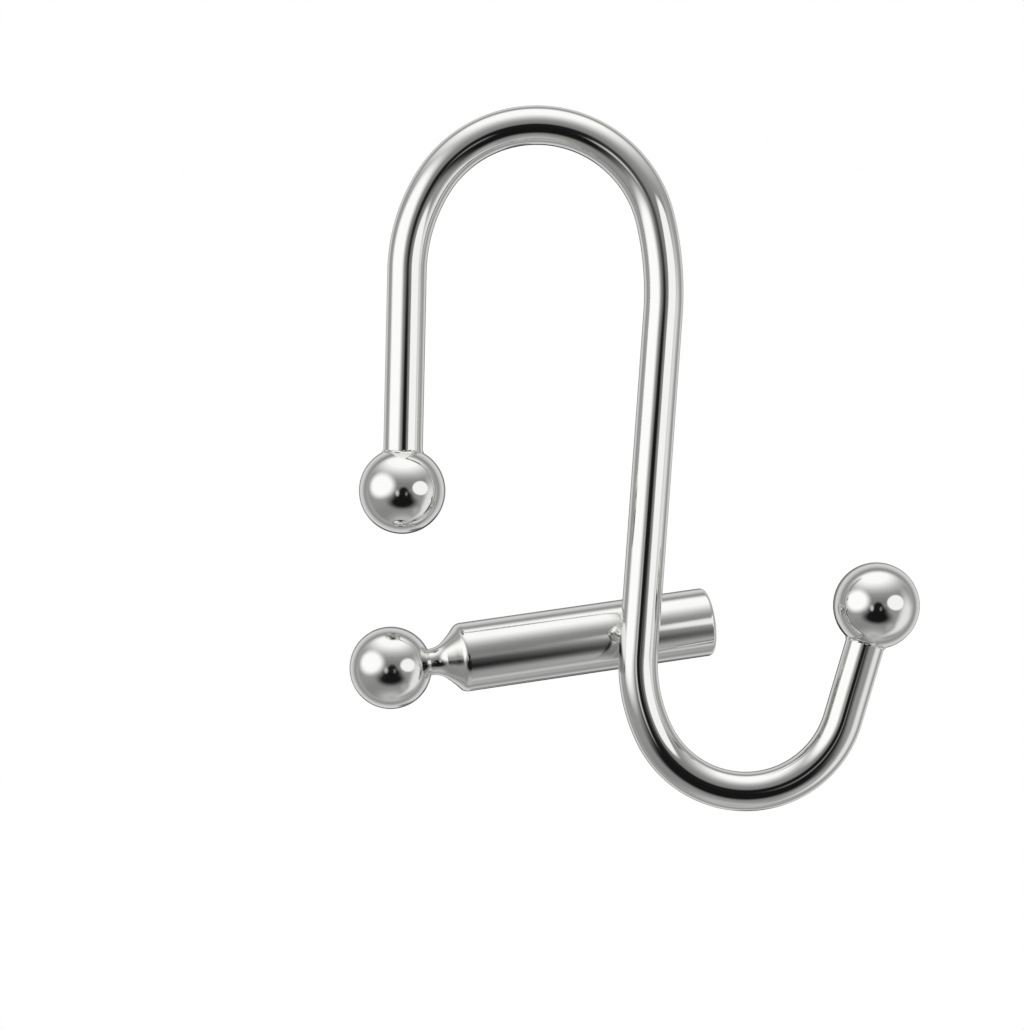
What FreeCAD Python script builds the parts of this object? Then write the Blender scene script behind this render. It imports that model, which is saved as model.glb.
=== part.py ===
import FreeCAD, Part
import math
import os

import Sketcher

# Double curtain hook: an S-bent wire with two ball ends and a turned peg welded behind its long leg.
# The wire lies in the XZ plane. +Z is up, +X points to the curtain's hook and +Y to the peg's side.
# The origin is the rail seat: the point under the crown that rests on top of the rail.

# Driving sizes, in millimetres and degrees
SIZES = {
    # wire, bent along its centre line from the rail end to the curtain end
    "wire_diameter": "4.6",
    "rail_leg_length": "26.7",
    "rail_leg_angle": "1.25",
    "rail_shoulder_radius": "20.4",
    "rail_shoulder_angle": "30",
    "crown_radius": "14.25",
    "crown_angle": "135.5",
    "long_shoulder_radius": "37",
    "long_leg_length": "39.5",
    "long_leg_angle": "4.15",
    "foot_shoulder_radius": "18.9",
    "foot_shoulder_angle": "30",
    "bend_radius": "11.85",
    "arm_length": "14.8",
    "arm_angle": "16.5",
    # balls, drilled and brazed on the wire's ends
    "ball_diameter": "10.1",
    "socket_past_centre": "1",
    "braze_radius": "0.4",
    "braze_edge": "0.05",
    # peg, turned from one bar
    "peg_diameter": "8.1",
    "peg_reach": "20.35",
    "peg_tail": "10",
    "peg_end_radius": "0.5",
    "rim_radius": "1.1",
    "cone_angle": "50",
    "flare_angle": "40",
    "neck_diameter": "3.1",
    "neck_flare_radius": "2.8",
    "neck_length": "0.2",
    "knob_diameter": "9.6",
    # peg's place behind the long leg, and its weld
    "crossing_height": "1.9",
    "peg_toe_angle": "13",
    "peg_droop_angle": "11.7",
    "weld_sink": "0.3",
    "bead_diameter": "1.9",
    "bead_tuck": "0.1",
    "bead_proud": "0.4",
}

# Names of a sketch's own parts: its axes, the points of a line or an arc, and its root point
HORIZONTAL_AXIS, VERTICAL_AXIS = range(-1, -3, -1)
START, END, CENTRE = range(1, 4)
ROOT = (HORIZONTAL_AXIS, START)

# Turns, in degrees
QUARTER = 90
HALF = 180
FULL = 360

doc = FreeCAD.newDocument("curtain_hook")


def size(name):
    """A driving size as a number, for the first guess that a sketch is drawn with."""
    return float(SIZES[name])


def point(x, y):
    return FreeCAD.Vector(x, y, 0)


def polar(centre, radius, degrees):
    angle = math.radians(degrees)
    return centre + point(radius * math.cos(angle), radius * math.sin(angle))


def line(start, end):
    return Part.LineSegment(start, end)


def arc(centre, radius, start_degrees, end_degrees):
    """An arc that runs anticlockwise."""
    circle = Part.Circle(centre, FreeCAD.Vector(0, 0, 1), radius)
    return Part.ArcOfCircle(circle, math.radians(start_degrees), math.radians(end_degrees))


def make_sheet():
    sheet = doc.addObject("Spreadsheet::Sheet", "sizes")
    for row, (name, value) in enumerate(SIZES.items(), start=1):
        sheet.set(f"A{row}", name)
        sheet.set(f"B{row}", value)
        sheet.setAlias(f"B{row}", name)
    doc.recompute()


def make_body(label):
    body = doc.addObject("PartDesign::Body", label)
    body.Label = label
    return body


def make_sketch(body, name):
    """A sketch on the body's XZ plane: its first axis is X and its second is Z."""
    plane = next(feature for feature in body.Origin.OriginFeatures if feature.Role == "XZ_Plane")
    sketch = body.newObject("Sketcher::SketchObject", name)
    sketch.AttachmentSupport = [(plane, "")]
    sketch.MapMode = "FlatFace"
    return sketch


def relate(sketch, kind, *places):
    """Add a geometric constraint, such as a tangency."""
    return sketch.addConstraint(Sketcher.Constraint(kind, *places))


def dimension(sketch, name, kind, places, guess, expression):
    """Add a named dimension and tie it to the driving sizes."""
    index = relate(sketch, kind, *places, guess)
    sketch.renameConstraint(index, name)
    sketch.setExpression(f"Constraints.{name}", expression)


def measure(sketch, name, geometry, end, place):
    """Add reference dimensions that read where a point of the sketch comes to lie."""
    for axis, kind, guess in (("x", "DistanceX", place.x), ("z", "DistanceY", place.y)):
        index = relate(sketch, kind, *ROOT, geometry, end, guess)
        sketch.setDriving(index, False)
        sketch.renameConstraint(index, f"{name}_{axis}")


def draw_centre_line(body):
    """The wire's bending plan: straight runs joined by tangent arcs, drawn from end to end."""
    wire_radius = size("wire_diameter") / 2
    crown_radius = size("crown_radius")
    rail_radius = size("rail_shoulder_radius")
    long_radius = size("long_shoulder_radius")
    foot_radius = size("foot_shoulder_radius")
    bend_radius = size("bend_radius")
    rail_heading = QUARTER - size("rail_leg_angle")
    long_heading = QUARTER - size("long_leg_angle")
    arm_heading = QUARTER - size("arm_angle")
    # each arc's ends, as directions from its centre
    rail_side = rail_heading + QUARTER
    crown_left = rail_side - size("rail_shoulder_angle")
    crown_right = crown_left - size("crown_angle")
    long_side = long_heading - QUARTER
    foot_side = long_heading + QUARTER
    bend_left = foot_side + size("foot_shoulder_angle")
    bend_right = arm_heading - QUARTER + FULL

    crown_centre = point(0, wire_radius - crown_radius)
    rail_centre = polar(crown_centre, crown_radius - rail_radius, crown_left)
    long_centre = polar(crown_centre, crown_radius - long_radius, crown_right)
    rail_top = polar(rail_centre, rail_radius, rail_side)
    rail_end = polar(rail_top, -size("rail_leg_length"), rail_heading)
    long_top = polar(long_centre, long_radius, long_side)
    long_foot = polar(long_top, -size("long_leg_length"), long_heading)
    crossing = polar(long_foot, size("crossing_height"), long_heading)
    foot_centre = polar(long_foot, foot_radius, long_side)
    bend_centre = polar(foot_centre, foot_radius - bend_radius, bend_left)
    arm_foot = polar(bend_centre, bend_radius, bend_right)
    arm_end = polar(arm_foot, size("arm_length"), arm_heading)

    sketch = make_sketch(body, "centre_line")
    rail_leg = sketch.addGeometry(line(rail_end, rail_top))
    rail_shoulder = sketch.addGeometry(arc(rail_centre, rail_radius, crown_left, rail_side))
    crown = sketch.addGeometry(arc(crown_centre, crown_radius, crown_right, crown_left))
    long_shoulder = sketch.addGeometry(arc(long_centre, long_radius, long_side, crown_right))
    long_leg = sketch.addGeometry(line(long_foot, long_top))
    foot_shoulder = sketch.addGeometry(arc(foot_centre, foot_radius, foot_side, bend_left))
    bend = sketch.addGeometry(arc(bend_centre, bend_radius, bend_left, bend_right))
    arm = sketch.addGeometry(line(arm_foot, arm_end))
    mark = sketch.addGeometry(Part.Point(crossing), True)

    relate(sketch, "Tangent", rail_leg, END, rail_shoulder, END)
    relate(sketch, "Tangent", rail_shoulder, START, crown, END)
    relate(sketch, "Tangent", crown, START, long_shoulder, END)
    relate(sketch, "Tangent", long_shoulder, START, long_leg, END)
    relate(sketch, "Tangent", long_leg, START, foot_shoulder, START)
    relate(sketch, "Tangent", foot_shoulder, END, bend, START)
    relate(sketch, "Tangent", bend, END, arm, START)
    relate(sketch, "PointOnObject", crown, CENTRE, VERTICAL_AXIS)
    relate(sketch, "PointOnObject", mark, START, long_leg)

    dimension(sketch, "seat_drop", "DistanceY", (crown, CENTRE, *ROOT), -crown_centre.y,
              "sizes.crown_radius - sizes.wire_diameter / 2")
    for name, geometry in (("rail_shoulder_radius", rail_shoulder), ("crown_radius", crown),
                           ("long_shoulder_radius", long_shoulder), ("foot_shoulder_radius", foot_shoulder),
                           ("bend_radius", bend)):
        dimension(sketch, name, "Radius", (geometry,), size(name), f"sizes.{name}")
    for name, geometry in (("rail_shoulder_angle", rail_shoulder), ("crown_angle", crown),
                           ("foot_shoulder_angle", foot_shoulder)):
        dimension(sketch, name, "Angle", (geometry,), math.radians(size(name)), f"sizes.{name} * 1 deg")
    for name, geometry in (("rail_leg_angle", rail_leg), ("long_leg_angle", long_leg), ("arm_angle", arm)):
        dimension(sketch, name, "Angle", (geometry,), math.radians(QUARTER - size(name)),
                  f"({QUARTER} - sizes.{name}) * 1 deg")
    for name, geometry in (("rail_leg_length", rail_leg), ("long_leg_length", long_leg), ("arm_length", arm)):
        dimension(sketch, name, "Distance", (geometry,), size(name), f"sizes.{name}")
    dimension(sketch, "crossing_height", "Distance", (long_leg, START, mark, START), size("crossing_height"),
              "sizes.crossing_height")

    measure(sketch, "rail_end", rail_leg, START, rail_end)
    measure(sketch, "curtain_end", arm, END, arm_end)
    measure(sketch, "crossing", mark, START, crossing)
    return sketch


def make_hook_wire():
    """The wire: a round section carried along the centre line."""
    body = make_body("hook_wire")
    path = draw_centre_line(body)
    doc.recompute()
    section = body.newObject("Sketcher::SketchObject", "wire_section")
    section.AttachmentSupport = [(path, "Edge1")]
    section.MapMode = "NormalToEdge"
    circle = section.addGeometry(Part.Circle(point(0, 0), FreeCAD.Vector(0, 0, 1), size("wire_diameter") / 2))
    relate(section, "Coincident", circle, CENTRE, *ROOT)
    dimension(section, "wire_diameter", "Diameter", (circle,), size("wire_diameter"), "sizes.wire_diameter")
    doc.recompute()
    sweep = body.newObject("PartDesign::AdditivePipe", "wire_sweep")
    sweep.Profile = section
    sweep.Spine = (path, [])
    return body


def draw_ball_profile(body):
    """Half section of a drilled ball, from the bottom of its socket at the origin, wire upwards."""
    ball_radius = size("ball_diameter") / 2
    wire_radius = size("wire_diameter") / 2
    braze_radius = size("braze_radius")
    edge_radius = wire_radius + size("braze_edge")
    ball_centre = point(0, size("socket_past_centre"))
    braze_x = edge_radius + braze_radius
    braze_rise = math.sqrt((ball_radius + braze_radius) ** 2 - braze_x ** 2)
    braze_centre = ball_centre + point(braze_x, braze_rise)
    meeting = math.degrees(math.atan2(braze_rise, braze_x))
    bottom = polar(ball_centre, ball_radius, -QUARTER)
    edge_outer = point(edge_radius, braze_centre.y)
    edge_inner = point(wire_radius, braze_centre.y)
    socket_corner = point(wire_radius, 0)

    sketch = make_sketch(body, f"{body.Label}_profile")
    outside = sketch.addGeometry(arc(ball_centre, ball_radius, -QUARTER, meeting))
    braze = sketch.addGeometry(arc(braze_centre, braze_radius, HALF, HALF + meeting))
    edge = sketch.addGeometry(line(edge_outer, edge_inner))
    wall = sketch.addGeometry(line(edge_inner, socket_corner))
    floor = sketch.addGeometry(line(socket_corner, point(0, 0)))
    axis = sketch.addGeometry(line(point(0, 0), bottom))

    relate(sketch, "Tangent", outside, END, braze, END)
    relate(sketch, "Coincident", braze, START, edge, START)
    relate(sketch, "Horizontal", braze, CENTRE, braze, START)
    relate(sketch, "Coincident", edge, END, wall, START)
    relate(sketch, "Coincident", wall, END, floor, START)
    relate(sketch, "Coincident", floor, END, axis, START)
    relate(sketch, "Coincident", axis, END, outside, START)
    relate(sketch, "Coincident", floor, END, *ROOT)
    relate(sketch, "Horizontal", edge)
    relate(sketch, "Vertical", wall)
    relate(sketch, "Horizontal", floor)
    relate(sketch, "PointOnObject", outside, START, VERTICAL_AXIS)
    relate(sketch, "PointOnObject", outside, CENTRE, VERTICAL_AXIS)
    dimension(sketch, "socket_past_centre", "DistanceY", (*ROOT, outside, CENTRE), ball_centre.y,
              "sizes.socket_past_centre")
    dimension(sketch, "ball_radius", "Radius", (outside,), ball_radius, "sizes.ball_diameter / 2")
    dimension(sketch, "braze_radius", "Radius", (braze,), braze_radius, "sizes.braze_radius")
    dimension(sketch, "braze_edge", "Distance", (edge,), size("braze_edge"), "sizes.braze_edge")
    dimension(sketch, "socket_radius", "DistanceX", (*ROOT, wall, START), wire_radius,
              "sizes.wire_diameter / 2")
    return sketch


def make_end_ball(label, wire_end, turn):
    """A ball turned about its own axis and slid over one end of the wire until the socket bottoms."""
    body = make_body(label)
    profile = draw_ball_profile(body)
    ball = body.newObject("PartDesign::Revolution", f"{label}_turning")
    ball.Profile = profile
    ball.ReferenceAxis = (profile, ["V_Axis"])
    ball.Angle = FULL
    place = f"vector(centre_line.Constraints.{wire_end}_x; 0 mm; centre_line.Constraints.{wire_end}_z)"
    body.setExpression("Placement", f"placement({place}; rotation(vector(0; 1; 0); {turn}))")
    return body


def draw_peg_profile(body):
    """Half section of the turned peg along X: the wire crosses at the origin and the knob is on the -X side."""
    barrel_radius = size("peg_diameter") / 2
    end_radius = size("peg_end_radius")
    rim_radius = size("rim_radius")
    cone_angle = size("cone_angle")
    flare_angle = size("flare_angle")
    neck_radius = size("neck_diameter") / 2
    flare_radius = size("neck_flare_radius")
    knob_radius = size("knob_diameter") / 2
    rim_trim = rim_radius * math.tan(math.radians(cone_angle / 2))
    rim_centre = point(rim_trim - size("peg_reach"), barrel_radius - rim_radius)
    rim_start = polar(rim_centre, rim_radius, QUARTER)
    rim_end = polar(rim_centre, rim_radius, QUARTER + cone_angle)
    flare_cosine = math.cos(math.radians(flare_angle))
    flare_top_y = neck_radius + flare_radius * (1 - flare_cosine)
    cone_radius = (rim_end.y - flare_top_y) / (flare_cosine - math.cos(math.radians(cone_angle)))
    cone_centre = polar(rim_end, cone_radius, QUARTER + cone_angle)
    flare_centre = polar(cone_centre, cone_radius - flare_radius, flare_angle - QUARTER)
    neck_right = polar(flare_centre, flare_radius, -QUARTER)
    neck_left = neck_right - point(size("neck_length"), 0)
    knob_half_angle = math.degrees(math.asin(neck_radius / knob_radius))
    knob_centre = point(neck_left.x - knob_radius * math.cos(math.radians(knob_half_angle)), 0)
    knob_tip = polar(knob_centre, knob_radius, HALF)
    end_centre = point(size("peg_tail") - end_radius, barrel_radius - end_radius)
    barrel_end = polar(end_centre, end_radius, QUARTER)
    face_top = polar(end_centre, end_radius, 0)
    face_foot = point(size("peg_tail"), 0)

    sketch = make_sketch(body, "peg_profile")
    knob = sketch.addGeometry(arc(knob_centre, knob_radius, knob_half_angle, HALF))
    neck = sketch.addGeometry(line(neck_left, neck_right))
    flare = sketch.addGeometry(arc(flare_centre, flare_radius, -QUARTER, flare_angle - QUARTER))
    cone = sketch.addGeometry(arc(cone_centre, cone_radius, flare_angle - QUARTER, cone_angle - QUARTER))
    rim = sketch.addGeometry(arc(rim_centre, rim_radius, QUARTER, QUARTER + cone_angle))
    barrel = sketch.addGeometry(line(rim_start, barrel_end))
    corner = sketch.addGeometry(arc(end_centre, end_radius, 0, QUARTER))
    face = sketch.addGeometry(line(face_top, face_foot))
    axis = sketch.addGeometry(line(face_foot, knob_tip))

    relate(sketch, "Coincident", knob, START, neck, START)
    relate(sketch, "Tangent", neck, END, flare, START)
    relate(sketch, "Tangent", flare, END, cone, START)
    relate(sketch, "Tangent", cone, END, rim, END)
    relate(sketch, "Tangent", rim, START, barrel, START)
    relate(sketch, "Tangent", barrel, END, corner, END)
    relate(sketch, "Tangent", corner, START, face, START)
    relate(sketch, "Coincident", face, END, axis, START)
    relate(sketch, "Coincident", axis, END, knob, END)
    relate(sketch, "PointOnObject", axis, START, HORIZONTAL_AXIS)
    relate(sketch, "PointOnObject", axis, END, HORIZONTAL_AXIS)
    relate(sketch, "PointOnObject", knob, CENTRE, HORIZONTAL_AXIS)
    relate(sketch, "Horizontal", neck)
    relate(sketch, "Horizontal", barrel)
    relate(sketch, "Vertical", face)
    dimension(sketch, "flare_angle", "Angle", (flare,), math.radians(flare_angle), "sizes.flare_angle * 1 deg")
    dimension(sketch, "cone_angle", "Angle", (rim,), math.radians(cone_angle), "sizes.cone_angle * 1 deg")
    dimension(sketch, "knob_radius", "Radius", (knob,), knob_radius, "sizes.knob_diameter / 2")
    dimension(sketch, "neck_flare_radius", "Radius", (flare,), flare_radius, "sizes.neck_flare_radius")
    dimension(sketch, "rim_radius", "Radius", (rim,), rim_radius, "sizes.rim_radius")
    dimension(sketch, "peg_end_radius", "Radius", (corner,), end_radius, "sizes.peg_end_radius")
    dimension(sketch, "neck_radius", "DistanceY", (*ROOT, neck, START), neck_radius, "sizes.neck_diameter / 2")
    dimension(sketch, "barrel_radius", "DistanceY", (*ROOT, barrel, START), barrel_radius,
              "sizes.peg_diameter / 2")
    dimension(sketch, "neck_length", "Distance", (neck,), size("neck_length"), "sizes.neck_length")
    dimension(sketch, "peg_reach", "DistanceX", (barrel, START, *ROOT), -rim_start.x,
              "sizes.peg_reach - sizes.rim_radius * tan(sizes.cone_angle * 1 deg / 2)")
    dimension(sketch, "peg_tail", "DistanceX", (*ROOT, face, START), size("peg_tail"), "sizes.peg_tail")
    return sketch


def behind_long_leg(sideways, depth):
    """A place in the peg's direction, set off from the crossing along X and in depth behind the leg."""
    crossing = "vector(centre_line.Constraints.crossing_x; 0 mm; centre_line.Constraints.crossing_z)"
    along_leg = f"placement({crossing}; rotation(vector(0; 1; 0); sizes.long_leg_angle))"
    toed_in = "placement(vector(0; 0; 0); rotation(vector(0; 0; 1); sizes.peg_toe_angle))"
    drooped = f"placement(vector({sideways}; {depth}; 0); rotation(vector(0; 1; 0); -sizes.peg_droop_angle))"
    return f"{along_leg} * {toed_in} * {drooped}"


def make_liner_peg(hook_wire):
    """The peg with its weld bead, seated in a shallow saddle against the back of the long leg."""
    turned = make_body("peg_turning")
    profile = draw_peg_profile(turned)
    revolved = turned.newObject("PartDesign::Revolution", "peg_revolution")
    revolved.Profile = profile
    revolved.ReferenceAxis = (profile, ["H_Axis"])
    revolved.Angle = FULL
    peg_depth = "sizes.wire_diameter / 2 + sizes.peg_diameter / 2 - sizes.weld_sink"
    turned.setExpression("Placement", behind_long_leg("0", peg_depth))

    bead = doc.addObject("Part::Sphere", "weld_bead")
    bead.setExpression("Radius", "sizes.bead_diameter / 2")
    bead_sideways = "sizes.bead_tuck - sizes.wire_diameter / 2"
    bead_depth = "sizes.wire_diameter / 2 - sizes.weld_sink - sizes.bead_proud"
    bead.setExpression("Placement", behind_long_leg(bead_sideways, bead_depth))

    welded = doc.addObject("Part::Fuse", "welded_peg")
    welded.Base = turned
    welded.Tool = bead
    peg = doc.addObject("Part::Cut", "liner_peg")
    peg.Label = "liner_peg"
    peg.Base = welded
    peg.Tool = hook_wire
    return peg


def check_document(pieces):
    for item in doc.Objects:
        if "Invalid" in item.State or "Error" in item.State:
            raise RuntimeError(f"{item.Name} did not rebuild: {item.State}")
    for piece in pieces:
        shape = piece.Shape
        if shape.isNull() or not shape.isValid() or len(shape.Solids) != 1:
            raise RuntimeError(f"{piece.Label} is not one sound solid")


def main():
    make_sheet()
    hook_wire = make_hook_wire()
    doc.recompute()
    pieces = [
        hook_wire,
        make_end_ball("rail_end_ball", "rail_end", "sizes.rail_leg_angle"),
        make_end_ball("curtain_end_ball", "curtain_end", f"{HALF} + sizes.arm_angle"),
        make_liner_peg(hook_wire),
    ]
    doc.recompute()
    check_document(pieces)
    os.makedirs("parts", exist_ok=True)
    for piece in pieces:
        piece.Shape.exportStep(f"parts/{piece.Label}.step")


main()
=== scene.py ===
import math

import bmesh
import bpy
from mathutils import Matrix, Vector, noise


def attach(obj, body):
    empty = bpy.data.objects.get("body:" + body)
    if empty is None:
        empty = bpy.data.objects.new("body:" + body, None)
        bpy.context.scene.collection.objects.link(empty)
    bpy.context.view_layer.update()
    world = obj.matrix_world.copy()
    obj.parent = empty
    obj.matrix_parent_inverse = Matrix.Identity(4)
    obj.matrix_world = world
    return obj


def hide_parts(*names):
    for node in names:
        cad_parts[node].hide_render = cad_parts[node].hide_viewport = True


# Double curtain hook: an S-bent wire with brazed ball ends and a turned peg welded behind its long leg.
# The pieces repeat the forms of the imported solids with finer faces, because polished metal shows each facet.
# +Z is up, +X points to the curtain's hook, and the origin is the rail seat under the crown.

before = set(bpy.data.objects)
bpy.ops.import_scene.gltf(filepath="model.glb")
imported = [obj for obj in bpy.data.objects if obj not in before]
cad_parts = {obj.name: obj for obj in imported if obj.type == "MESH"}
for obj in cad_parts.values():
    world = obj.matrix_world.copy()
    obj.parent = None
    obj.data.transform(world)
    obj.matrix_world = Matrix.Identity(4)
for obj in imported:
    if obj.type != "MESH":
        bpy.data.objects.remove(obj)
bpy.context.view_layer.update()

MM = 0.001
QUARTER = math.radians(90)
HALF = math.radians(180)
FULL = math.radians(360)
X_AXIS = (1, 0, 0)
Y_AXIS = (0, 1, 0)
Z_AXIS = (0, 0, 1)
ORIGIN = (0, 0, 0)

# Wire, bent along its centre line from the rail end to the curtain end
WIRE_RADIUS = 2.3 * MM
RAIL_LEG_LENGTH = 26.7 * MM
RAIL_LEG_LEAN = math.radians(1.25)
RAIL_SHOULDER_RADIUS = 20.4 * MM
RAIL_SHOULDER_TURN = math.radians(30)
CROWN_RADIUS = 14.25 * MM
CROWN_TURN = math.radians(135.5)
LONG_SHOULDER_RADIUS = 37 * MM
LONG_LEG_LENGTH = 39.5 * MM
LONG_LEG_LEAN = math.radians(4.15)
FOOT_SHOULDER_RADIUS = 18.9 * MM
FOOT_SHOULDER_TURN = math.radians(30)
BEND_RADIUS = 11.85 * MM
ARM_LENGTH = 14.8 * MM
ARM_LEAN = math.radians(16.5)

# Balls, drilled and brazed on the wire's ends
BALL_RADIUS = 5.05 * MM
SOCKET_PAST_CENTRE = 1 * MM
BRAZE_RADIUS = 0.4 * MM
BRAZE_EDGE = 0.05 * MM
BRAZE_LUMP_SIZE = 0.7 * MM
BRAZE_LUMP_DEPTH = 0.12 * MM

# Peg, turned from one bar
PEG_RADIUS = 4.05 * MM
PEG_REACH = 20.35 * MM
PEG_TAIL = 10 * MM
PEG_END_ROUND = 0.5 * MM
RIM_ROUND = 1.1 * MM
CONE_ANGLE = math.radians(50)
FLARE_ANGLE = math.radians(40)
NECK_RADIUS = 1.55 * MM
NECK_FLARE_RADIUS = 2.8 * MM
NECK_LENGTH = 0.2 * MM
KNOB_RADIUS = 4.8 * MM

# Peg's place behind the long leg, and its weld
CROSSING_HEIGHT = 1.9 * MM
PEG_TOE = math.radians(13)
PEG_DROOP = math.radians(11.7)
WELD_SINK = 0.3 * MM
BEAD_RADIUS = 0.95 * MM
BEAD_TUCK = 0.1 * MM
BEAD_PROUD = 0.4 * MM
BEAD_LUMP_SIZE = 0.8 * MM
BEAD_LUMP_DEPTH = 0.4 * MM
BEAD_SMOOTH_PASSES = 8
BEAD_SMOOTH_SHARE = 0.5

# Fineness of the faces
WIRE_SIDES = 96
BEND_STEP = math.radians(1.5)
TURNED_STEPS = 144
ARC_STEP = math.radians(3)
CREASE = math.radians(35)
BEAD_FINENESS = 5
MERGE = 0.0001 * MM


# Shapes

def in_plane(angle):
    """Unit vector in the wire's plane, turned from +X towards +Z."""
    return Vector((math.cos(angle), 0, math.sin(angle)))


def spin(bm, geometry, centre, axis, turn, step):
    """Carry vertices or edges round an axis and give the last copy."""
    steps = max(1, round(abs(turn) / step))
    spun = bmesh.ops.spin(bm, geom=geometry, cent=centre, axis=axis, angle=turn, steps=steps,
                          use_duplicate=False)
    return spun["geom_last"]


def edges_of(geometry):
    """The edges among what an operator gives."""
    return [item for item in geometry if isinstance(item, bmesh.types.BMEdge)]


def put_in_scene(bm, name, material):
    """Make a bmesh an object of the scene."""
    mesh = bpy.data.meshes.new(name)
    bm.to_mesh(mesh)
    bm.free()
    mesh.materials.append(material)
    placed = bpy.data.objects.new(name, mesh)
    bpy.context.scene.collection.objects.link(placed)
    return placed


def finish_piece(bm, name, material, slot, *nodes):
    """Close the mesh, put it in the scene on the hook's one body and let it stand for its solids."""
    bmesh.ops.remove_doubles(bm, verts=bm.verts, dist=MERGE)
    bmesh.ops.recalc_face_normals(bm, faces=bm.faces)
    piece = put_in_scene(bm, name, material)
    piece.data.shade_smooth()
    piece.data.set_sharp_from_angle(angle=CREASE)
    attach(piece, "root")
    if nodes:
        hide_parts(*nodes)


def set_lumps(bm, verts, size, depth):
    """Move vertices in and out by the lumps that molten metal sets in."""
    bm.normal_update()
    for vert in verts:
        vert.co += vert.normal * depth * noise.noise(vert.co / size)


class WireBender:
    """A wire that grows from a ring: straight runs are extruded, and bends are spun round their centres."""

    def __init__(self, place, heading):
        self.bm = bmesh.new()
        self.place = place
        self.heading = heading
        turned = in_plane(heading).to_track_quat("Z", "Y").to_matrix().to_4x4()
        bmesh.ops.create_circle(self.bm, segments=WIRE_SIDES, radius=WIRE_RADIUS,
                                matrix=Matrix.Translation(place) @ turned)
        self.ring = self.bm.edges[:]
        self.close()

    def close(self):
        """Fill the ring at the wire's end."""
        bmesh.ops.edgeloop_fill(self.bm, edges=self.ring)

    def run(self, length):
        """Go straight on."""
        shift = in_plane(self.heading) * length
        grown = bmesh.ops.extrude_edge_only(self.bm, edges=self.ring)["geom"]
        ends = [item for item in grown if isinstance(item, bmesh.types.BMVert)]
        bmesh.ops.translate(self.bm, verts=ends, vec=shift)
        end_set = set(ends)
        self.ring = [edge for edge in edges_of(grown) if set(edge.verts) <= end_set]
        self.place = self.place + shift

    def bend(self, radius, turn):
        """Bend clockwise, seen from the front, or the other way where the turn is negative."""
        inward = self.heading - math.copysign(QUARTER, turn)
        centre = self.place + in_plane(inward) * radius
        last = spin(self.bm, self.ring, centre, Y_AXIS, turn, BEND_STEP)
        self.ring = edges_of(last)
        self.place = centre + Matrix.Rotation(turn, 3, "Y") @ (self.place - centre)
        self.heading -= turn


def rail_end():
    """Where the wire starts, worked back from the crown over the rail seat."""
    heading = QUARTER - RAIL_LEG_LEAN
    leg_side = heading + QUARTER
    crown_left = leg_side - RAIL_SHOULDER_TURN
    crown_centre = Vector((0, 0, WIRE_RADIUS - CROWN_RADIUS))
    shoulder_centre = crown_centre + in_plane(crown_left) * (CROWN_RADIUS - RAIL_SHOULDER_RADIUS)
    leg_top = shoulder_centre + in_plane(leg_side) * RAIL_SHOULDER_RADIUS
    return leg_top - in_plane(heading) * RAIL_LEG_LENGTH, heading


def make_wire(material):
    """Bend the wire and give the places that the other pieces are set by."""
    start, heading = rail_end()
    wire = WireBender(start, heading)
    wire.run(RAIL_LEG_LENGTH)
    wire.bend(RAIL_SHOULDER_RADIUS, RAIL_SHOULDER_TURN)
    wire.bend(CROWN_RADIUS, CROWN_TURN)
    wire.bend(LONG_SHOULDER_RADIUS, wire.heading + QUARTER + LONG_LEG_LEAN)
    wire.run(LONG_LEG_LENGTH)
    crossing = wire.place - in_plane(wire.heading) * CROSSING_HEIGHT
    wire.bend(FOOT_SHOULDER_RADIUS, -FOOT_SHOULDER_TURN)
    wire.bend(BEND_RADIUS, wire.heading - QUARTER + ARM_LEAN)
    wire.run(ARM_LENGTH)
    wire.close()
    finish_piece(wire.bm, "bent_wire", material, "polished_chrome", "hook_wire")
    return start, crossing, wire.place


class HalfSection:
    """A profile drawn in the XZ plane, point by point, for turning."""

    def __init__(self, x, z):
        self.bm = bmesh.new()
        self.tip = self.bm.verts.new((x, 0, z))

    def line(self, x, z):
        """A straight line to a point."""
        self.tip = bmesh.ops.extrude_vert_indiv(self.bm, verts=[self.tip])["verts"][0]
        self.tip.co = (x, 0, z)

    def arc(self, centre_x, centre_z, turn):
        """An arc about a centre, anticlockwise where the turn is positive."""
        last = spin(self.bm, [self.tip], (centre_x, 0, centre_z), Y_AXIS, -turn, ARC_STEP)
        self.tip = next(item for item in last if isinstance(item, bmesh.types.BMVert))

    def turn(self, axis):
        """Turn the profile once round an axis through the origin."""
        profile = self.bm.verts[:] + self.bm.edges[:]
        bmesh.ops.spin(self.bm, geom=profile, cent=ORIGIN, axis=axis, angle=FULL, steps=TURNED_STEPS,
                       use_merge=True)
        bmesh.ops.remove_doubles(self.bm, verts=self.bm.verts, dist=MERGE)
        bmesh.ops.recalc_face_normals(self.bm, faces=self.bm.faces)
        return self.bm


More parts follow.
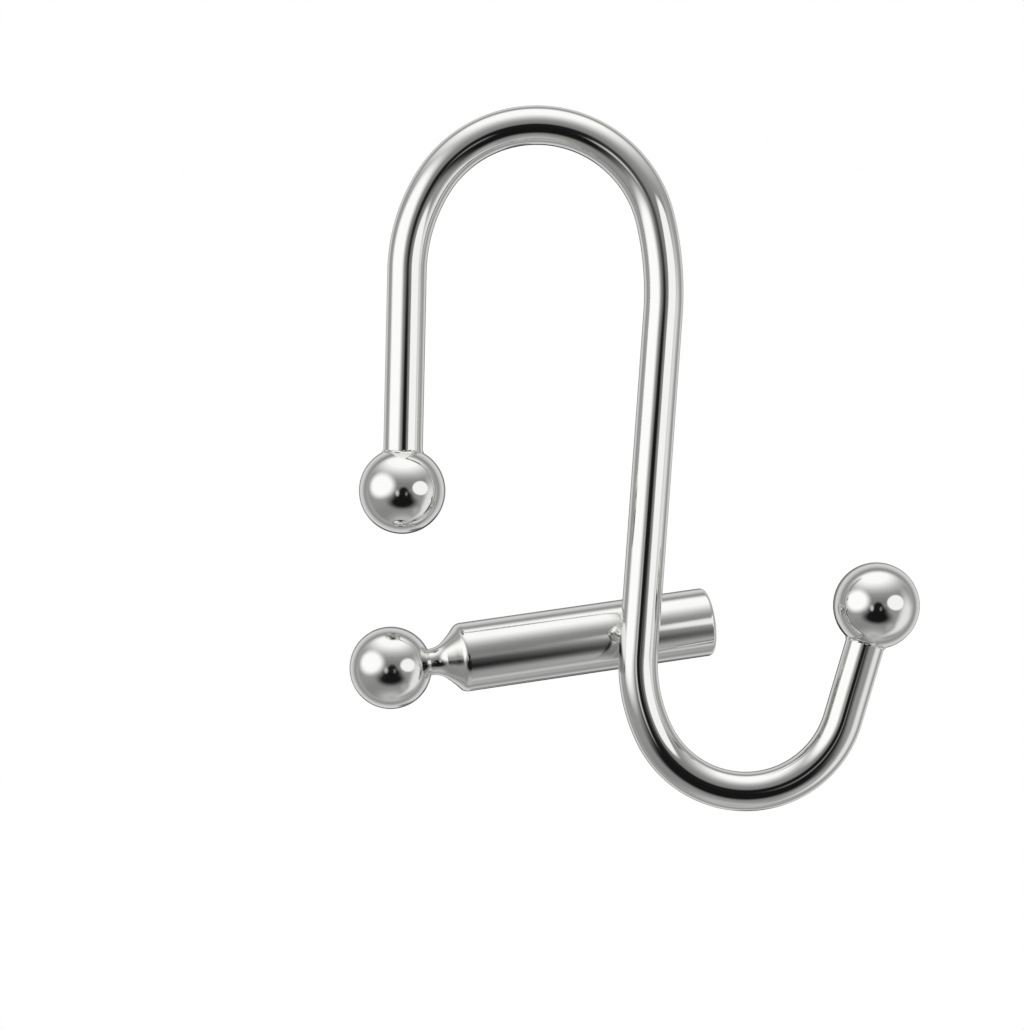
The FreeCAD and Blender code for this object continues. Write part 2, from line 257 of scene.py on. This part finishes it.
def make_ball(name, node, place, lean, material):
    """Drilled ball with its lumpy braze: the socket's bottom is at the wire's end."""
    braze_x = WIRE_RADIUS + BRAZE_EDGE + BRAZE_RADIUS
    braze_rise = math.sqrt((BALL_RADIUS + BRAZE_RADIUS) ** 2 - braze_x ** 2)
    meeting = math.atan2(braze_rise, braze_x)
    braze_z = SOCKET_PAST_CENTRE + braze_rise
    ball = HalfSection(0, SOCKET_PAST_CENTRE - BALL_RADIUS)
    ball.arc(0, SOCKET_PAST_CENTRE, QUARTER + meeting)
    ball.arc(braze_x, braze_z, -meeting)
    ball.line(WIRE_RADIUS, braze_z)
    ball.line(WIRE_RADIUS, 0)
    ball.line(0, 0)
    bm = ball.turn(Z_AXIS)
    braze_foot = SOCKET_PAST_CENTRE + BALL_RADIUS * math.sin(meeting)
    braze = [vert for vert in bm.verts if vert.co.z > braze_foot and vert.co.xy.length > WIRE_RADIUS + MERGE]
    set_lumps(bm, braze, BRAZE_LUMP_SIZE, BRAZE_LUMP_DEPTH)
    bmesh.ops.transform(bm, matrix=Matrix.Translation(place) @ Matrix.Rotation(lean, 4, "Y"), verts=bm.verts)
    finish_piece(bm, name, material, "polished_chrome", node)


def behind_long_leg(crossing, sideways, depth):
    """A place in the peg's direction, set off from the crossing along X and in depth behind the leg."""
    along_leg = Matrix.Translation(crossing) @ Matrix.Rotation(LONG_LEG_LEAN, 4, "Y")
    toed_in = Matrix.Rotation(PEG_TOE, 4, "Z")
    drooped = Matrix.Translation((sideways, depth, 0)) @ Matrix.Rotation(-PEG_DROOP, 4, "Y")
    return along_leg @ toed_in @ drooped


def peg_place(crossing):
    """Where the peg's axis crosses behind the leg, with its saddle sunk on the wire."""
    return behind_long_leg(crossing, 0, WIRE_RADIUS + PEG_RADIUS - WELD_SINK)


def make_peg(crossing, material):
    """Knob, neck, flare, hollow cone, rounded rim, barrel and rounded free end, turned in one piece."""
    rim_x = RIM_ROUND * math.tan(CONE_ANGLE / 2) - PEG_REACH
    rim_z = PEG_RADIUS - RIM_ROUND
    cone_top_x = rim_x - RIM_ROUND * math.sin(CONE_ANGLE)
    cone_top_z = rim_z + RIM_ROUND * math.cos(CONE_ANGLE)
    flare_top_z = NECK_RADIUS + NECK_FLARE_RADIUS * (1 - math.cos(FLARE_ANGLE))
    hollow_radius = (cone_top_z - flare_top_z) / (math.cos(FLARE_ANGLE) - math.cos(CONE_ANGLE))
    hollow_x = cone_top_x - hollow_radius * math.sin(CONE_ANGLE)
    hollow_z = cone_top_z + hollow_radius * math.cos(CONE_ANGLE)
    neck_right_x = hollow_x + (hollow_radius - NECK_FLARE_RADIUS) * math.sin(FLARE_ANGLE)
    neck_left_x = neck_right_x - NECK_LENGTH
    knob_half_angle = math.asin(NECK_RADIUS / KNOB_RADIUS)
    knob_x = neck_left_x - KNOB_RADIUS * math.cos(knob_half_angle)
    peg = HalfSection(knob_x - KNOB_RADIUS, 0)
    peg.arc(knob_x, 0, knob_half_angle - HALF)
    peg.line(neck_right_x, NECK_RADIUS)
    peg.arc(neck_right_x, NECK_RADIUS + NECK_FLARE_RADIUS, FLARE_ANGLE)
    peg.arc(hollow_x, hollow_z, CONE_ANGLE - FLARE_ANGLE)
    peg.arc(rim_x, rim_z, -CONE_ANGLE)
    peg.line(PEG_TAIL - PEG_END_ROUND, PEG_RADIUS)
    peg.arc(PEG_TAIL - PEG_END_ROUND, PEG_RADIUS - PEG_END_ROUND, -QUARTER)
    peg.line(PEG_TAIL, 0)
    bm = peg.turn(X_AXIS)
    bmesh.ops.transform(bm, matrix=peg_place(crossing), verts=bm.verts)
    finish_piece(bm, "turned_peg", material, "satin_chrome", "liner_peg")


def make_weld(crossing, material):
    """The weld's bead in the corner of the peg and the wire, with the lumps that it set in as it cooled."""
    bm = bmesh.new()
    bmesh.ops.create_icosphere(bm, subdivisions=BEAD_FINENESS, radius=BEAD_RADIUS)
    set_lumps(bm, bm.verts, BEAD_LUMP_SIZE, BEAD_LUMP_DEPTH)
    for _ in range(BEAD_SMOOTH_PASSES):
        bmesh.ops.smooth_vert(bm, verts=bm.verts, factor=BEAD_SMOOTH_SHARE, use_axis_x=True, use_axis_y=True,
                              use_axis_z=True)
    place = behind_long_leg(crossing, BEAD_TUCK - WIRE_RADIUS, WIRE_RADIUS - WELD_SINK - BEAD_PROUD)
    bmesh.ops.transform(bm, matrix=place, verts=bm.verts)
    finish_piece(bm, "weld_bead", material, "satin_chrome")


# Materials

# Chrome plate on the wire and the balls, in the same colour on the peg
CHROME_COLOUR = "#E4E4E2"
CHROME_SMOOTHEST = 0.035
CHROME_ROUGHEST = 0.075
HAZE_SIZE = 6 * MM
HAZE_DETAIL = 4
SWELL_SIZE = 3.5 * MM
SWELL_DETAIL = 1
SWELL_HEIGHT = 0.02 * MM
SWELL_STRENGTH = 0.3

# Weld metal on the bead
WELD_COLOUR = "#EDEDEA"
WELD_SMOOTHEST = 0.16
WELD_ROUGHEST = 0.26
WELD_GRAIN_SIZE = 0.5 * MM
WELD_GRAIN_DETAIL = 2
WELD_GRAIN_HEIGHT = 0.02 * MM
WELD_GRAIN_STRENGTH = 0.2

# Streaks and lathe rings on the peg
SATIN_SMOOTHEST = 0.09
SATIN_ROUGHEST = 0.14
STREAK_WIDTH = 0.5 * MM
STREAK_STRETCH = 14
STREAK_DETAIL = 3
STREAK_HEIGHT = 0.004 * MM
STREAK_STRENGTH = 0.2
LATHE_RING_WIDTH = 0.3 * MM
LATHE_RING_HEIGHT = 0.01 * MM
LATHE_RING_STRENGTH = 0.5
END_FACE_DEPTH = 0.03 * MM

# What the textures give: the span of most of the noise, and the length of a wave at a scale of 1
NOISE_LOW = 0.3
NOISE_HIGH = 0.7
WAVE_LENGTH = math.pi / 10


def linear(hex_colour):
    """An sRGB hex colour as linear RGBA."""
    channels = [int(hex_colour[start:start + 2], 16) / 255 for start in (1, 3, 5)]
    return [c / 12.92 if c <= 0.04045 else ((c + 0.055) / 1.055) ** 2.4 for c in channels] + [1]


def add(tree, kind, inputs=None, **settings):
    """Add a node with its settings. Each input is a value or the output that is linked to it."""
    new = tree.nodes.new(kind)
    for name, value in settings.items():
        setattr(new, name, value)
    for name, value in (inputs or {}).items():
        if isinstance(value, bpy.types.NodeSocket):
            tree.links.new(value, new.inputs[name])
        else:
            new.inputs[name].default_value = value
    return new


def new_material(name):
    """An empty material and its node tree."""
    material = bpy.data.materials.new(name)
    material.use_nodes = True
    material.node_tree.nodes.clear()
    return material, material.node_tree


def polished_chrome():
    """Chrome plate on buffed steel: a near mirror, with soft haze and the faint swell that buffing leaves."""
    material, tree = new_material("polished_chrome_plate")
    place = add(tree, "ShaderNodeTexCoord")
    haze = add(tree, "ShaderNodeTexNoise", {
        "Vector": place.outputs["Object"], "Scale": 1 / HAZE_SIZE, "Detail": HAZE_DETAIL})
    roughness = add(tree, "ShaderNodeMapRange", {
        "Value": haze.outputs["Fac"], "From Min": NOISE_LOW, "From Max": NOISE_HIGH,
        "To Min": CHROME_SMOOTHEST, "To Max": CHROME_ROUGHEST})
    swell = add(tree, "ShaderNodeTexNoise", {
        "Vector": place.outputs["Object"], "Scale": 1 / SWELL_SIZE, "Detail": SWELL_DETAIL})
    bump = add(tree, "ShaderNodeBump", {
        "Height": swell.outputs["Fac"], "Strength": SWELL_STRENGTH, "Distance": SWELL_HEIGHT})
    metal = add(tree, "ShaderNodeBsdfPrincipled", {
        "Base Color": linear(CHROME_COLOUR), "Metallic": 1, "Roughness": roughness.outputs["Result"],
        "Normal": bump.outputs["Normal"]})
    add(tree, "ShaderNodeOutputMaterial", {"Surface": metal.outputs["BSDF"]})
    return material


def weld_metal():
    """Bare weld under the plate: bright, rough and lumpy, without the wire's clear mirror."""
    material, tree = new_material("weld_metal")
    place = add(tree, "ShaderNodeTexCoord")
    grain = add(tree, "ShaderNodeTexNoise", {
        "Vector": place.outputs["Object"], "Scale": 1 / WELD_GRAIN_SIZE, "Detail": WELD_GRAIN_DETAIL})
    roughness = add(tree, "ShaderNodeMapRange", {
        "Value": grain.outputs["Fac"], "From Min": NOISE_LOW, "From Max": NOISE_HIGH,
        "To Min": WELD_SMOOTHEST, "To Max": WELD_ROUGHEST})
    bump = add(tree, "ShaderNodeBump", {
        "Height": grain.outputs["Fac"], "Strength": WELD_GRAIN_STRENGTH, "Distance": WELD_GRAIN_HEIGHT})
    metal = add(tree, "ShaderNodeBsdfPrincipled", {
        "Base Color": linear(WELD_COLOUR), "Metallic": 1, "Roughness": roughness.outputs["Result"],
        "Normal": bump.outputs["Normal"]})
    add(tree, "ShaderNodeOutputMaterial", {"Surface": metal.outputs["BSDF"]})
    return material


def satin_chrome(place):
    """Chrome plate on a turned bar: softer than the wire, with faint drawn streaks along the bar, and on its
    flat end the rings that the lathe leaves, drawn about twice as coarse as real ones so that they show."""
    material, tree = new_material("satin_chrome_plate")
    spot = add(tree, "ShaderNodeTexCoord")
    bar = add(tree, "ShaderNodeMapping", {
        "Vector": spot.outputs["Object"], "Location": place.translation, "Rotation": place.to_euler()},
        vector_type="TEXTURE")
    along = add(tree, "ShaderNodeMapping", {
        "Vector": bar.outputs["Vector"], "Scale": (STREAK_STRETCH, 1, 1)}, vector_type="TEXTURE")
    streaks = add(tree, "ShaderNodeTexNoise", {
        "Vector": along.outputs["Vector"], "Scale": 1 / STREAK_WIDTH, "Detail": STREAK_DETAIL})
    roughness = add(tree, "ShaderNodeMapRange", {
        "Value": streaks.outputs["Fac"], "From Min": NOISE_LOW, "From Max": NOISE_HIGH,
        "To Min": SATIN_SMOOTHEST, "To Max": SATIN_ROUGHEST})
    rings = add(tree, "ShaderNodeTexWave", {
        "Vector": bar.outputs["Vector"], "Scale": WAVE_LENGTH / LATHE_RING_WIDTH},
        wave_type="RINGS", rings_direction="X")
    parts = add(tree, "ShaderNodeSeparateXYZ", {"Vector": bar.outputs["Vector"]})
    end_face = add(tree, "ShaderNodeMapRange", {
        "Value": parts.outputs["X"], "From Min": PEG_TAIL - END_FACE_DEPTH, "From Max": PEG_TAIL})
    on_end = add(tree, "ShaderNodeMath", {0: rings.outputs["Fac"], 1: end_face.outputs["Result"]},
                 operation="MULTIPLY")
    turned = add(tree, "ShaderNodeBump", {
        "Height": on_end.outputs["Value"], "Strength": LATHE_RING_STRENGTH, "Distance": LATHE_RING_HEIGHT})
    bump = add(tree, "ShaderNodeBump", {
        "Height": streaks.outputs["Fac"], "Strength": STREAK_STRENGTH, "Distance": STREAK_HEIGHT,
        "Normal": turned.outputs["Normal"]})
    metal = add(tree, "ShaderNodeBsdfPrincipled", {
        "Base Color": linear(CHROME_COLOUR), "Metallic": 1, "Roughness": roughness.outputs["Result"],
        "Normal": bump.outputs["Normal"]})
    add(tree, "ShaderNodeOutputMaterial", {"Surface": metal.outputs["BSDF"]})
    return material


# Studio, in metres

TENT_RADIUS = 0.52
TENT_CENTRE = (0, 0, -40 * MM)
TENT_SIDES = 72
TENT_ROWS = 36
FLOOR_HEIGHT = -0.6
FLOOR_RADIUS = 2.5
FLOOR_SIDES = 96
FLOOR_COLOUR = "#E2E2E0"
FLOOR_ROUGHNESS = 0.8
FLOOR_GRAIN_SIZE = 2 * MM
FLOOR_GRAIN_DETAIL = 3
FLOOR_GRAIN_HEIGHT = 0.1 * MM
FLOOR_GRAIN_STRENGTH = 0.1
FADE_START = 0.35
FADE_END = 1.1
LAMP_SIZE = 0.9
LAMP_POWER = 8
LAMP_PLACE = (-0.15, -0.1, 1.1)
WHITE = "#FFFFFF"
SHOWN_WHITE = 1
SURROUND_LIGHT = 0.6

# Brightness of the tent's plain cloth: on the camera's side by height, and behind the hook by the angle from
# the camera's direction, both in degrees
FRONT_CLOTH = (
    (-90, 0.5), (-78, 0.57), (-66, 0.39), (-55, 0.3), (-45, 0.3), (-25, 0.36), (-5, 0.34), (6, 0.24),
    (17, 0.27), (29, 0.36), (41, 0.6), (53, 0.95), (64, 1.22), (90, 1.25),
)
BACK_CLOTH = (
    (90, 0.6), (103, 0.55), (111, 0.36), (119, 0.36), (127, 0.62), (140, 0.8), (148, 0.72), (156, 0.3),
    (166, 0.26), (172, 0.03), (180, 0.02),
)
TURN_FRONT = 95
TURN_BACK = 112

# Azimuth straight behind the hook, in degrees, where the count from the right meets the one from the left
BACK_SEAM = 180

# Bright and dark panels on the cloth, painted in this order: the middle's azimuth and height, half the width
# and half the height, all in degrees as the hook sees them, then the softness of the edge and the brightness
PANELS = (
    ("left soft box", -58, 12, 36, 27, 0.32, 1.25),
    ("right fill", 84, -26, 18, 42, 0.6, 0.95),
    ("right fill, low", 57, -52, 16, 10, 0.6, 0.46),
    ("right soft box", 50.5, 6, 23, 17, 0.12, 1.15),
    ("camera flag, foot", 1, -31, 41, 18, 0.4, 0.01),
    ("camera flag, middle", 3, -15, 25, 15, 0.4, 0.01),
    ("camera flag, top", 4, -2, 12, 11, 0.4, 0.012),
    ("left catch light", -13, -7, 4.5, 7, 0.6, 0.65),
    ("right catch light", 11, -9, 3, 5, 0.6, 0.22),
    ("back shade, low", 170, -35, 6, 9, 0.5, 0.2),
    ("back flag, foot", 180, -19, 20, 8, 0.4, 0.02),
    ("back flag, middle", 180, -11, 14, 9, 0.4, 0.02),
    ("back flag, top", 180, -2, 8, 9, 0.4, 0.02),
)


def cloth(tree, angle, stops):
    """Brightness by an angle, straight from stop to stop."""
    level = stops[0][1]
    for (low, _), (high, brightness) in zip(stops, stops[1:]):
        stretch = add(tree, "ShaderNodeMapRange", {
            "Value": angle, "From Min": low, "From Max": high, "To Min": level, "To Max": brightness})
        level = stretch.outputs["Result"]
    return level


def tent_cloth():
    """The tent's lit cloth, with soft boxes and flags as bright and dark panels."""
    material, tree = new_material("tent_cloth")
    place = add(tree, "ShaderNodeTexCoord")
    ray = add(tree, "ShaderNodeVectorMath", {0: place.outputs["Object"]}, operation="NORMALIZE")
    parts = add(tree, "ShaderNodeSeparateXYZ", {"Vector": ray.outputs["Vector"]})
    forward = add(tree, "ShaderNodeMath", {0: parts.outputs["Y"], 1: -1}, operation="MULTIPLY")
    round_about = add(tree, "ShaderNodeMath", {0: parts.outputs["X"], 1: forward.outputs["Value"]},
                      operation="ARCTAN2")
    up = add(tree, "ShaderNodeMath", {0: parts.outputs["Z"]}, operation="ARCSINE")
    away = add(tree, "ShaderNodeMath", {0: forward.outputs["Value"]}, operation="ARCCOSINE")
    azimuth, elevation, polar = [
        add(tree, "ShaderNodeMath", {0: angle.outputs["Value"]}, operation="DEGREES").outputs["Value"]
        for angle in (round_about, up, away)]
    plain = add(tree, "ShaderNodeMapRange", {
        "Value": polar, "From Min": TURN_FRONT, "From Max": TURN_BACK,
        "To Min": cloth(tree, elevation, FRONT_CLOTH), "To Max": cloth(tree, polar, BACK_CLOTH)},
        interpolation_type="SMOOTHSTEP")
    level = plain.outputs["Result"]
    for name, middle, height, half_width, half_height, soft, brightness in PANELS:
        turned = add(tree, "ShaderNodeMath", {0: azimuth, 1: middle}, operation="SUBTRACT")
        sideways = add(tree, "ShaderNodeMath", {0: turned.outputs["Value"], 1: BACK_SEAM, 2: -BACK_SEAM},
                       operation="WRAP")
        upwards = add(tree, "ShaderNodeMath", {0: elevation, 1: height}, operation="SUBTRACT")
        offset = add(tree, "ShaderNodeCombineXYZ", {
            "X": sideways.outputs["Value"], "Y": upwards.outputs["Value"]})
        share = add(tree, "ShaderNodeVectorMath", {
            0: offset.outputs["Vector"], 1: (half_width, half_height, 1)}, operation="DIVIDE")
        reach = add(tree, "ShaderNodeVectorMath", {0: share.outputs["Vector"]}, operation="LENGTH")
        panel = add(tree, "ShaderNodeMapRange", {
            "Value": reach.outputs["Value"], "From Min": 1 + soft, "From Max": 1 - soft,
            "To Min": level, "To Max": brightness}, interpolation_type="SMOOTHSTEP", label=name)
        level = panel.outputs["Result"]
    glow = add(tree, "ShaderNodeEmission", {"Strength": level})
    add(tree, "ShaderNodeOutputMaterial", {"Surface": glow.outputs["Emission"]})
    material.cycles.emission_sampling = "NONE"
    return material


def make_tent():
    """A round light tent about the hook that only shows in the metal."""
    bm = bmesh.new()
    bmesh.ops.create_uvsphere(bm, u_segments=TENT_SIDES, v_segments=TENT_ROWS, radius=TENT_RADIUS)
    tent = put_in_scene(bm, "light_tent", tent_cloth())
    tent.location = TENT_CENTRE
    tent.visible_camera = False
    tent.visible_diffuse = False
    tent.visible_transmission = False
    tent.visible_shadow = False


def seen_directly(tree):
    """1 for what the camera, a reflection or a clear view shows, and 0 for light on a matt surface."""
    path = add(tree, "ShaderNodeLightPath")
    seen = path.outputs["Is Camera Ray"]
    for other in ("Is Glossy Ray", "Is Transmission Ray"):
        either = add(tree, "ShaderNodeMath", {0: seen, 1: path.outputs[other]}, operation="MAXIMUM")
        seen = either.outputs["Value"]
    return seen


def pale_floor():
    """Pale matt sheet: grey near the hook's shadow, and white further out, where it is the background."""
    material, tree = new_material("pale_floor_sheet")
    place = add(tree, "ShaderNodeTexCoord")
    distance = add(tree, "ShaderNodeVectorMath", {0: place.outputs["Object"]}, operation="LENGTH")
    far = add(tree, "ShaderNodeMapRange", {
        "Value": distance.outputs["Value"], "From Min": FADE_START, "From Max": FADE_END},
        interpolation_type="SMOOTHSTEP")
    white = add(tree, "ShaderNodeMath", {0: far.outputs["Result"], 1: seen_directly(tree)},
                operation="MULTIPLY")
    grain = add(tree, "ShaderNodeTexNoise", {
        "Vector": place.outputs["Object"], "Scale": 1 / FLOOR_GRAIN_SIZE, "Detail": FLOOR_GRAIN_DETAIL})
    bump = add(tree, "ShaderNodeBump", {
        "Height": grain.outputs["Fac"], "Strength": FLOOR_GRAIN_STRENGTH, "Distance": FLOOR_GRAIN_HEIGHT})
    matt = add(tree, "ShaderNodeBsdfPrincipled", {
        "Base Color": linear(FLOOR_COLOUR), "Roughness": FLOOR_ROUGHNESS, "Normal": bump.outputs["Normal"]})
    glow = add(tree, "ShaderNodeEmission", {"Strength": SHOWN_WHITE})
    mixed = add(tree, "ShaderNodeMixShader", {
        0: white.outputs["Value"], 1: matt.outputs["BSDF"], 2: glow.outputs["Emission"]})
    add(tree, "ShaderNodeOutputMaterial", {"Surface": mixed.outputs["Shader"]})
    return material


def make_floor():
    """A round sheet well below the hook."""
    bm = bmesh.new()
    bmesh.ops.create_circle(bm, cap_ends=True, segments=FLOOR_SIDES, radius=FLOOR_RADIUS)
    floor = put_in_scene(bm, "floor", pale_floor())
    floor.location = (0, 0, FLOOR_HEIGHT)


def light_studio():
    """A soft lamp above for the floor's shadow, and a white surround."""
    lamp = bpy.data.lights.new("top_lamp", "AREA")
    lamp.shape = "DISK"
    lamp.size = LAMP_SIZE
    lamp.energy = LAMP_POWER
    lamp_object = bpy.data.objects.new("top_lamp", lamp)
    lamp_object.location = LAMP_PLACE
    lamp_object.visible_glossy = False
    lamp_object.visible_camera = False
    bpy.context.scene.collection.objects.link(lamp_object)
    world = bpy.data.worlds.new("white_surround")
    world.use_nodes = True
    tree = world.node_tree
    tree.nodes.clear()
    strength = add(tree, "ShaderNodeMapRange", {
        "Value": seen_directly(tree), "To Min": SURROUND_LIGHT, "To Max": SHOWN_WHITE})
    white = add(tree, "ShaderNodeBackground", {
        "Color": linear(WHITE), "Strength": strength.outputs["Result"]})
    add(tree, "ShaderNodeOutputWorld", {"Surface": white.outputs["Background"]})
    bpy.context.scene.world = world


# Camera: straight at the wire's plane, as far off as the photograph's perspective gives

PLANE_MM_PER_PIXEL = 0.1168
IMAGE_WIDTH = 1024
IMAGE_HEIGHT = 1030
CROWN_CENTRE_PIXEL = (536.6, 247.15)
CAMERA_DISTANCE = 451 * MM
SENSOR_WIDTH = 36
CLIP_START = 10 * MM
CLIP_END = 10


def make_camera():
    """The camera, set so that the crown's centre falls on its pixel."""
    scale = PLANE_MM_PER_PIXEL * MM
    crown_z = WIRE_RADIUS - CROWN_RADIUS
    camera = bpy.data.cameras.new("camera")
    camera.sensor_width = SENSOR_WIDTH
    camera.lens = SENSOR_WIDTH * CAMERA_DISTANCE / (IMAGE_HEIGHT * scale)
    camera.clip_start = CLIP_START
    camera.clip_end = CLIP_END
    holder = bpy.data.objects.new("camera", camera)
    holder.location = ((IMAGE_WIDTH / 2 - CROWN_CENTRE_PIXEL[0]) * scale, -CAMERA_DISTANCE,
                       crown_z - (IMAGE_HEIGHT / 2 - CROWN_CENTRE_PIXEL[1]) * scale)
    holder.rotation_euler = (QUARTER, 0, 0)
    bpy.context.scene.collection.objects.link(holder)
    bpy.context.scene.camera = holder


bpy.context.scene.view_settings.view_transform = "Standard"
wire_finish = polished_chrome()
rail_tip, leg_crossing, curtain_tip = make_wire(wire_finish)
make_ball("rail_ball", "rail_end_ball", rail_tip, RAIL_LEG_LEAN, wire_finish)
make_ball("curtain_ball", "curtain_end_ball", curtain_tip, HALF + ARM_LEAN, wire_finish)
peg_finish = satin_chrome(peg_place(leg_crossing))
make_peg(leg_crossing, peg_finish)
make_weld(leg_crossing, weld_metal())
make_tent()
make_floor()
light_studio()
make_camera()
